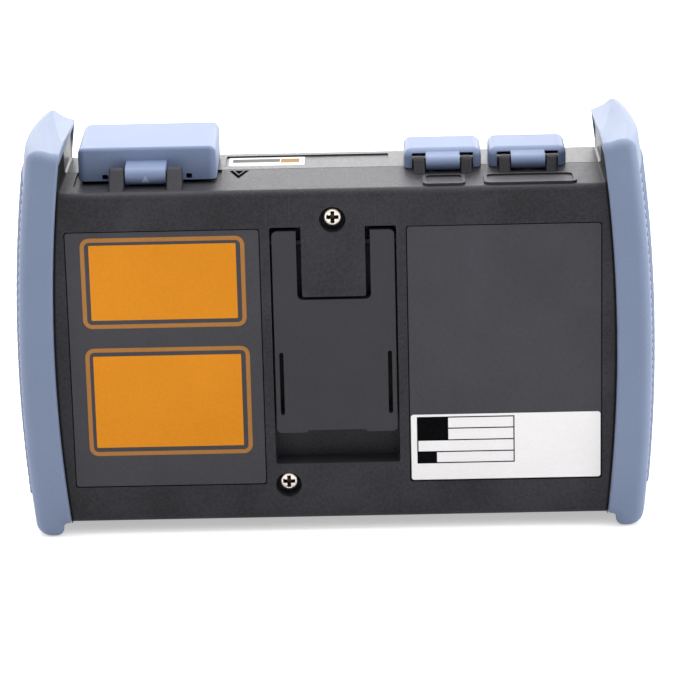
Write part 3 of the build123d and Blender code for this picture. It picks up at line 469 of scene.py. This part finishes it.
def screw_tree():
    """Sets one head at each of two places."""
    places = [("First place", "NodeSocketVector"), ("Second place", "NodeSocketVector")]
    tree = new_tree("screw_heads", places)
    given = put(tree, "NodeGroupInput")
    step = put(tree, "ShaderNodeVectorMath", {
        0: given.outputs["Second place"], 1: given.outputs["First place"],
    }, operation="SUBTRACT")
    line = put(tree, "GeometryNodeMeshLine", {
        "Count": 2, "Start Location": given.outputs["First place"], "Offset": step.outputs[0],
    })
    heads = put(tree, "GeometryNodeInstanceOnPoints", {
        "Points": line.outputs["Mesh"], "Instance": given.outputs["Geometry"],
    })
    real = put(tree, "GeometryNodeRealizeInstances", {"Geometry": heads.outputs["Instances"]})
    index = put(tree, "GeometryNodeInputMaterialIndex")
    cut = put(tree, "FunctionNodeCompare", {2: index.outputs[0], 3: 1}, data_type="INT", operation="EQUAL")
    plain = put(tree, "FunctionNodeCompare", {2: index.outputs[0], 3: 0}, data_type="INT", operation="EQUAL")
    bright = put(tree, "GeometryNodeSetMaterial", {
        "Geometry": real.outputs["Geometry"], "Selection": plain.outputs[0], "Material": bright_head,
    })
    dark = put(tree, "GeometryNodeSetMaterial", {
        "Geometry": bright.outputs["Geometry"], "Selection": cut.outputs[0], "Material": dark_recess,
    })
    put(tree, "NodeGroupOutput", {"Geometry": dark.outputs["Geometry"]})
    return tree


# Radius and depth, from the end of the shank to the crown of the head.
head_profile = [
    (0, -SHANK_LENGTH), (SHANK_RADIUS, -SHANK_LENGTH), (SHANK_RADIUS, 0), (HEAD_RADIUS, 0),
    (HEAD_RADIUS, 1.4), (2.66, 1.68), (2.45, 1.86), (2.1, 1.94), (1.2, 1.99), (0, HEAD_HEIGHT),
]
head_mesh = turned_mesh("case_screw_heads", head_profile, SCREW_FACETS)
screws = bpy.data.objects.new("case_screw_heads", head_mesh)
cutter = bpy.data.objects.new("cross_cutter", cross_mesh("cross_cutter"))
for piece in (screws, cutter):
    scene.collection.objects.link(piece)
screws.data.materials.append(bright_head)
screws.data.materials.append(dark_recess)
cutter.data.materials.append(bright_head)
cutter.data.materials.append(dark_recess)
for face in cutter.data.polygons:
    face.material_index = 1
recess = screws.modifiers.new("recess", "BOOLEAN")
recess.object = cutter
recess.operation = "DIFFERENCE"
recess.use_self = True
settle(screws)
bpy.data.objects.remove(cutter)
screw_low, screw_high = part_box("case_screws")
seat_y = screw_high.y - HEAD_HEIGHT * MM
upper_place = (screw_low.x + HEAD_RADIUS * MM, seat_y, screw_high.z - HEAD_RADIUS * MM)
lower_place = (screw_high.x - HEAD_RADIUS * MM, seat_y, screw_low.z + HEAD_RADIUS * MM)
set_inputs(screws, screw_tree(), {"First place": upper_place, "Second place": lower_place})
settle(screws)
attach(screws, "case")
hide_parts("case_screws")

# Rubber ends
# Thermoplastic rubber moulded over the ends of the case, pale blue, with a dry satin skin.
# The outer sides have rows of small domes for grip.
rubber = finish("satin_rubber", "#6B7995", "#76849F", 0.5, (0.45, 0.6), 0.02, cloud_mm=30.0)
dress(rubber, "bumper_left", "bumper_right")
SIDE_RADIUS = 447.0
SIDE_HEIGHT = 48.0
PLAN_RADIUS = 160.0
DOT_PITCH = 2.6
DOT_RADIUS = 0.8
DOT_HEIGHT = 0.5
DOT_FOOT = -0.05
DOT_FACETS = (10, 8)
DOT_ROWS_Z = (13.0, 104.0)
DOT_ROWS_Y = 23.4


def dot_tree():
    """Sets a dome on every point, standing along the point's own direction."""
    tree = new_tree("grip_dots", [("Dot radius", "NodeSocketFloat"), ("Dot height", "NodeSocketFloat")])
    given = put(tree, "NodeGroupInput")
    ball = put(tree, "GeometryNodeMeshUVSphere", {
        "Segments": DOT_FACETS[0], "Rings": DOT_FACETS[1], "Radius": 1.0,
    })
    height = put(tree, "ShaderNodeSeparateXYZ", {0: put(tree, "GeometryNodeInputPosition").outputs[0]})
    buried = put(tree, "FunctionNodeCompare", {
        0: height.outputs["Z"], 1: DOT_FOOT,
    }, data_type="FLOAT", operation="LESS_THAN")
    dome = put(tree, "GeometryNodeDeleteGeometry", {
        "Geometry": ball.outputs["Mesh"], "Selection": buried.outputs[0],
    }, domain="POINT")
    size = put(tree, "ShaderNodeCombineXYZ", {
        0: given.outputs["Dot radius"], 1: given.outputs["Dot radius"], 2: given.outputs["Dot height"],
    })
    out = put(tree, "GeometryNodeInputNamedAttribute", {"Name": "out"}, data_type="FLOAT_VECTOR")
    lean = put(tree, "FunctionNodeAlignRotationToVector", {"Vector": out.outputs[0]}, axis="Z")
    dots = put(tree, "GeometryNodeInstanceOnPoints", {
        "Points": given.outputs["Geometry"], "Instance": dome.outputs["Geometry"],
        "Rotation": lean.outputs[0], "Scale": size.outputs[0],
    })
    real = put(tree, "GeometryNodeRealizeInstances", {"Geometry": dots.outputs["Instances"]})
    soft = put(tree, "GeometryNodeSetShadeSmooth", {"Geometry": real.outputs["Geometry"]})
    done = put(tree, "GeometryNodeSetMaterial", {"Geometry": soft.outputs["Geometry"], "Material": rubber})
    put(tree, "NodeGroupOutput", {"Geometry": done.outputs["Geometry"]})
    return tree


def grip_points(name, side):
    """Places of the dots, in rows on the side of a rubber end, which is bowed both ways."""
    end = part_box("bumper_left")[1].x / MM
    places, outs = [], []
    rows = int((DOT_ROWS_Z[1] - DOT_ROWS_Z[0]) / DOT_PITCH)
    columns = int(2 * DOT_ROWS_Y / DOT_PITCH)
    for row in range(rows + 1):
        z = DOT_ROWS_Z[0] + row * DOT_PITCH
        rise = z - SIDE_HEIGHT
        lean = math.sqrt(SIDE_RADIUS ** 2 - rise ** 2)
        reach = PLAN_RADIUS - SIDE_RADIUS + lean
        for column in range(columns + 1):
            y = (column - columns / 2) * DOT_PITCH
            along = math.sqrt(reach ** 2 - y ** 2)
            x = side * (end - PLAN_RADIUS + along)
            places.append((x * MM, y * MM, z * MM))
            flat = lean / SIDE_RADIUS / reach
            outs.append((side * along * flat, y * flat, rise / SIDE_RADIUS))
    mesh = bpy.data.meshes.new(name)
    mesh.from_pydata(places, [], [])
    layer = mesh.attributes.new("out", "FLOAT_VECTOR", "POINT")
    for entry, value in zip(layer.data, outs):
        entry.vector = value
    return mesh


dots_tree = dot_tree()
for name, side in (("grip_dots_left", 1), ("grip_dots_right", -1)):
    dots = bpy.data.objects.new(name, grip_points(name, side))
    scene.collection.objects.link(dots)
    set_inputs(dots, dots_tree, {"Dot radius": DOT_RADIUS * MM, "Dot height": DOT_HEIGHT * MM})
    settle(dots)
    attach(dots, "case")

# Hinged covers
# Three moulded covers with a soft pale blue skin, over the optical port and the two sockets.
# Each swings on a steel pin between two lugs of the case.
cover_skin = finish("soft_cover_skin", "#6F7E9F", "#7988A9", 0.5, (0.42, 0.55), 0.015, cloud_mm=25.0)
dress(cover_skin, "port_cover", "usb_cover_a", "usb_cover_b")

# Arrow on the wide cover's hinge barrel
# A small pale arrow on the round of the barrel, where the cover carries an embossed arrow: its pale colour
# is painted highlight on that relief.
# It points up to the cover's edge, and turns with the cover.
BARREL_RADIUS = 2.5
MARK = [(0, 0.5), (-1.2, -1.5), (-0.6, -1.5), (0, -0.6), (0.6, -1.5), (1.2, -1.5)]
MARK_FINE = 6
arrow_highlight_ink = finish("painted_arrow_highlight", "#9AA9C6", "#A4B2CE", 0.6, (0.4, 0.5))


def barrel_mark():
    """The arrow, cut fine enough to be bent around the barrel."""
    low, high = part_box("port_cover_pin")
    middle = (low + high) / 2
    shell = bmesh.new()
    shell.faces.new([shell.verts.new((x * MM, 0, z * MM)) for x, z in MARK])
    bmesh.ops.triangulate(shell, faces=shell.faces)
    bmesh.ops.subdivide_edges(shell, edges=shell.edges, cuts=MARK_FINE, use_grid_fill=True)
    for vert in shell.verts:
        reach = math.sqrt((BARREL_RADIUS * MM) ** 2 - vert.co.z ** 2)
        vert.co = (middle.x + vert.co.x, middle.y + reach, middle.z + vert.co.z)
    bmesh.ops.recalc_face_normals(shell, faces=shell.faces)
    bmesh.ops.solidify(shell, geom=shell.faces, thickness=-INK * MM)
    bmesh.ops.recalc_face_normals(shell, faces=shell.faces)
    mesh = bpy.data.meshes.new("barrel_mark")
    shell.to_mesh(mesh)
    shell.free()
    # Painted highlight colour for the embossed arrow.
    mesh.materials.append(arrow_highlight_ink)
    piece = bpy.data.objects.new("barrel_mark", mesh)
    scene.collection.objects.link(piece)
    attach(piece, "port_cover")


barrel_mark()

# Stand
# A flip-out stand of grey ABS with a finer grain than the case, on a steel axle.
# Its two slots let the lower corners flex.
stand_abs = finish("fine_grained_abs", "#323136", "#39383D", 0.5, (0.45, 0.58), 0.015, **LOW_SHINE)
dress(stand_abs, "stand")

# Rear films
# Two grey polyester films in shallow recesses of the rear face. The left one is printed with
# two plain orange fields in tan frames, the right one carries a pale plate with a blank table.
film = finish("grey_matte_film", "#3A393E", "#424147", 0.8, (0.45, 0.6), 0.01, **LOW_SHINE)
dress(film, "label_left", "label_right")
# The inks are dull and soak up light, so that they stay dark at low angles.
NO_SHINE = {"Specular IOR Level": 0.0}
orange_ink = finish("orange_screen_ink", "#DA8A26", "#E2912B", 0.7, (0.4, 0.5), **NO_SHINE)
tan_ink = finish("tan_screen_ink", "#A57441", "#AF7C47", 0.7, (0.4, 0.5), **NO_SHINE)
# This black serves the real prints, and also the painted shadow in the gaps around the films.
black_ink_and_gap_shadow = finish("black_print_and_gap_shadow", "#0C0C0E", "#131316", 0.7, (0.4, 0.55), **NO_SHINE)
plate_film = finish("white_polyester_plate", "#F0EEEF", "#F6F4F5", 0.8, (0.35, 0.45))
dress(plate_film, "plate_label")
FRAME_LINE = 1.2
FRAME_ROUND = 2.6
FIELD_ROUND = 0.3
FRAMES = (((24.84, 71.11), (61.83, 88.3)), ((24.3, 71.0), (23.85, 56.0)))
FIELDS = (((27.3, 68.7), (64.24, 86.2)), ((26.8, 68.8), (26.3, 53.6)))
film_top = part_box("label_left")[1].y / MM
frame_shapes = []
for x, z in FRAMES:
    inner_x = (x[0] + FRAME_LINE, x[1] - FRAME_LINE)
    inner_z = (z[0] + FRAME_LINE, z[1] - FRAME_LINE)
    inner_round = FRAME_ROUND - FRAME_LINE
    frame_shapes.append([round_rect(x, z, FRAME_ROUND), round_rect(inner_x, inner_z, inner_round)])
field_shapes = [round_rect(x, z, FIELD_ROUND) for x, z in FIELDS]
# A fine black line between the films and the edges of the recesses is painted shadow, standing for the shade
# in the gap around them.
GAP_SHADOW_WIDE = 0.28
GAP_SHADOW_THICK = 0.12
GAP_SHADOW_ROUND = 0.8
for name in ("label_left", "label_right"):
    low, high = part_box(name)
    x, z = (low.x / MM, high.x / MM), (low.z / MM, high.z / MM)
    wide_x, wide_z = ((a[0] - GAP_SHADOW_WIDE, a[1] + GAP_SHADOW_WIDE) for a in (x, z))
    line = [[round_rect(wide_x, wide_z, GAP_SHADOW_ROUND), round_rect(x, z, GAP_SHADOW_ROUND)]]
    # Painted shadow ring in the gap around each film.
    inlay(name + "_gap_shadow", line, low.y / MM, GAP_SHADOW_THICK, black_ink_and_gap_shadow, "case")
inlay("label_frames", frame_shapes, film_top, INK, tan_ink, "case")
inlay("label_fields", field_shapes, film_top, INK, orange_ink, "case")

TABLE_SIDE = 1.7
TABLE_TOP = 0.7
TABLE_WIDE = 27.8
TABLE_ROW = 3.5
TABLE_LINE = 0.32
HEADS = (8.9, 8.9, 0, 5.6)


def table_shapes():
    """Lines and dark head cells of the blank table on the plate."""
    low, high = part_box("plate_label")
    right = high.x / MM - TABLE_SIDE
    left = right - TABLE_WIDE
    top = high.z / MM - TABLE_TOP
    low_z = top - len(HEADS) * TABLE_ROW
    outer = box_points((left, right), (low_z, top))
    inner = box_points((left + TABLE_LINE, right - TABLE_LINE), (low_z + TABLE_LINE, top - TABLE_LINE))
    shapes = [[outer, inner]]
    for row, wide in enumerate(HEADS):
        row_top = top - row * TABLE_ROW
        if row:
            line = (row_top - TABLE_LINE / 2, row_top + TABLE_LINE / 2)
            shapes.append(box_points((left + TABLE_LINE, right - TABLE_LINE), line))
        if wide:
            cell = (row_top - TABLE_ROW + TABLE_LINE / 2, row_top - TABLE_LINE / 2)
            shapes.append(box_points((right - wide, right - TABLE_LINE), cell))
    return shapes


plate_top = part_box("plate_label")[1].y / MM
inlay("plate_table", table_shapes(), plate_top, INK, black_ink_and_gap_shadow, "case")

# Top sticker and mark
# A small white sticker with plain grey and orange blocks lies in a recess of the front half.
# A printed black chevron behind it points at the optical port's side.
sticker = finish("white_sticker", "#DDDBDA", "#E5E3E2", 0.6, (0.35, 0.45), **NO_SHINE)
dress(sticker, "top_label")
grey_ink = finish("grey_print", "#757370", "#807E7B", 0.6, (0.4, 0.5), **NO_SHINE)
faded_ink = finish("faded_orange_print", "#A28560", "#AA8D68", 0.6, (0.4, 0.5), **NO_SHINE)
sticker_low, sticker_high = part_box("top_label")
sticker_x = (sticker_low.x / MM, sticker_high.x / MM)
sticker_y = (sticker_low.y / MM, sticker_high.y / MM)
sticker_top = sticker_high.z / MM
# Margins of the two blocks from the edges of the sticker.
BLOCK_FRONT = 2.0
GREY_SIDES = (7.2, 1.2)
GREY_REAR = 4.2
ORANGE_SIDES = (1.6, 6.9)
ORANGE_REAR = 3.4
block_front = sticker_y[0] + BLOCK_FRONT
grey_x = (sticker_x[0] + GREY_SIDES[0], sticker_x[1] - GREY_SIDES[1])
grey_block = box_points(grey_x, (block_front, sticker_y[1] - GREY_REAR))
orange_x = (sticker_x[0] + ORANGE_SIDES[0], sticker_x[0] + ORANGE_SIDES[1])
orange_block = box_points(orange_x, (block_front, sticker_y[1] - ORANGE_REAR))
inlay("sticker_block_grey", [grey_block], sticker_top, INK, grey_ink, "case", facing="top")
inlay("sticker_block_orange", [orange_block], sticker_top, INK, faded_ink, "case", facing="top")
CHEVRON = [(29.5, 1.2), (26.6, 10.2), (23.8, 1.2), (24.9, 1.2), (26.6, 6.6), (28.4, 1.2)]
CHEVRON_TIP = [(27.9, 1.2), (26.6, 5.2), (25.4, 1.2)]
inlay("top_chevron", [CHEVRON, CHEVRON_TIP], TOP_FACE, INK, black_ink_and_gap_shadow, "case", facing="top")

# Floor, light and camera
# A white paper sweep among soft boxes, with the studio's white walls as fill.
# The camera stands where a fit to the photograph puts it, with its rise held at 17 degrees.


def ray_kind(tree):
    """1 for the rays that should see a plain white ground: camera, glossy and transmission."""
    path = put(tree, "ShaderNodeLightPath")
    seen = put(tree, "ShaderNodeMath", {
        0: path.outputs["Is Camera Ray"], 1: path.outputs["Is Glossy Ray"],
    }, operation="MAXIMUM")
    return put(tree, "ShaderNodeMath", {
        0: seen.outputs[0], 1: path.outputs["Is Transmission Ray"],
    }, operation="MAXIMUM").outputs[0]


FLOOR_HALF = 3.0
FLOOR_GLOW = 0.45
FLOOR_LIT = "#E6E6E6"
FLOOR_WHITE = "#F2F2F2"
FILL = 0.26
SWEEP_NEAR = 0.3
SWEEP_FAR = 1.2
floor_mesh = bpy.data.meshes.new("floor")
floor_corners = [(x * FLOOR_HALF, y * FLOOR_HALF, 0) for x, y in ((-1, -1), (1, -1), (1, 1), (-1, 1))]
floor_mesh.from_pydata(floor_corners, [], [(0, 1, 2, 3)])
floor = bpy.data.objects.new("floor", floor_mesh)
scene.collection.objects.link(floor)
paper = bpy.data.materials.new("white_paper_sweep")
paper.use_nodes = True
tree = paper.node_tree
tree.nodes.clear()
place = put(tree, "ShaderNodeTexCoord").outputs["Object"]
away = put(tree, "ShaderNodeVectorMath", {0: place}, operation="LENGTH")
# The paper's glow is painted light that rises away from the object, so that it runs into the white of the
# room.
lift = put(tree, "ShaderNodeMapRange", {
    "Value": away.outputs["Value"], "From Min": SWEEP_NEAR, "From Max": SWEEP_FAR,
    "To Min": FLOOR_GLOW, "To Max": 1.0,
})
glow = put(tree, "ShaderNodeEmission", {"Color": linear("#FFFFFF"), "Strength": lift.outputs["Result"]})
lit = put(tree, "ShaderNodeBsdfDiffuse", {"Color": linear(FLOOR_LIT)})
seen = put(tree, "ShaderNodeAddShader", {0: glow.outputs[0], 1: lit.outputs[0]})
plain = put(tree, "ShaderNodeBsdfDiffuse", {"Color": linear(FLOOR_WHITE)})
mix = put(tree, "ShaderNodeMixShader", {0: ray_kind(tree), 1: plain.outputs[0], 2: seen.outputs[0]})
put(tree, "ShaderNodeOutputMaterial", {"Surface": mix.outputs[0]})
floor_mesh.materials.append(paper)

world = bpy.data.worlds.new("studio")
scene.world = world
world.use_nodes = True
tree = world.node_tree
tree.nodes.clear()
fill = put(tree, "ShaderNodeBackground", {"Color": linear("#FFFFFF"), "Strength": FILL})
white = put(tree, "ShaderNodeBackground", {"Color": linear("#FFFFFF"), "Strength": 1.0})
mix = put(tree, "ShaderNodeMixShader", {0: ray_kind(tree), 1: fill.outputs[0], 2: white.outputs[0]})
put(tree, "ShaderNodeOutputWorld", {"Surface": mix.outputs[0]})


def soft_box(name, place, target, size, power):
    """A rectangular soft light aimed at a point."""
    lamp = bpy.data.lights.new(name, "AREA")
    lamp.shape = "RECTANGLE"
    lamp.size, lamp.size_y = size
    lamp.energy = power
    holder = bpy.data.objects.new(name, lamp)
    scene.collection.objects.link(holder)
    aim = Vector(target) - Vector(place)
    holder.matrix_world = Matrix.Translation(place) @ aim.to_track_quat("-Z", "Y").to_matrix().to_4x4()
    holder.visible_camera = False


soft_box("overhead_box", (0.0, -0.3, 1.25), (0.0, -0.1, 0.0), (1.8, 1.4), 21.5)
soft_box("back_box", (0.0, -1.4, 0.5), (0.0, 0.0, 0.08), (2.4, 0.8), 20.0)
soft_box("front_box", (0.0, 1.3, 1.35), (0.0, 0.0, 0.05), (1.8, 1.2), 6.0)
soft_box("right_box", (-1.55, 0.22, 0.6), (0.0, 0.0, 0.06), (1.0, 1.0), 18.0)
soft_box("left_box", (1.55, 0.22, 0.6), (0.0, 0.0, 0.06), (1.0, 1.0), 9.0)

VIEW_TURN = 180.862
VIEW_RISE = 17.0
VIEW_ROLL = -1.401
VIEW_DISTANCE = 0.924424
VIEW_TARGET = (-0.000276, 0.0, 0.050131)
FOCAL_PIXELS = 3174.074
IMAGE_PIXELS = 675
SENSOR = 36.0
turn, rise, roll = (math.radians(a) for a in (VIEW_TURN, VIEW_RISE, VIEW_ROLL))
back = Vector((math.sin(turn) * math.cos(rise), -math.cos(turn) * math.cos(rise), math.sin(rise)))
level = Vector((math.cos(turn), math.sin(turn), 0.0))
upright = back.cross(level)
across = math.cos(roll) * level + math.sin(roll) * upright
up = -math.sin(roll) * level + math.cos(roll) * upright
eye = Vector(VIEW_TARGET) + back * VIEW_DISTANCE
lens = bpy.data.cameras.new("camera")
lens.sensor_fit = "HORIZONTAL"
lens.sensor_width = SENSOR
lens.lens = SENSOR * FOCAL_PIXELS / IMAGE_PIXELS
lens.clip_start = 0.05
lens.clip_end = 20.0
camera = bpy.data.objects.new("camera", lens)
scene.collection.objects.link(camera)
camera.matrix_world = Matrix.Translation(eye) @ Matrix((across, up, back)).transposed().to_4x4()
scene.camera = camera
scene.view_settings.view_transform = "Standard"
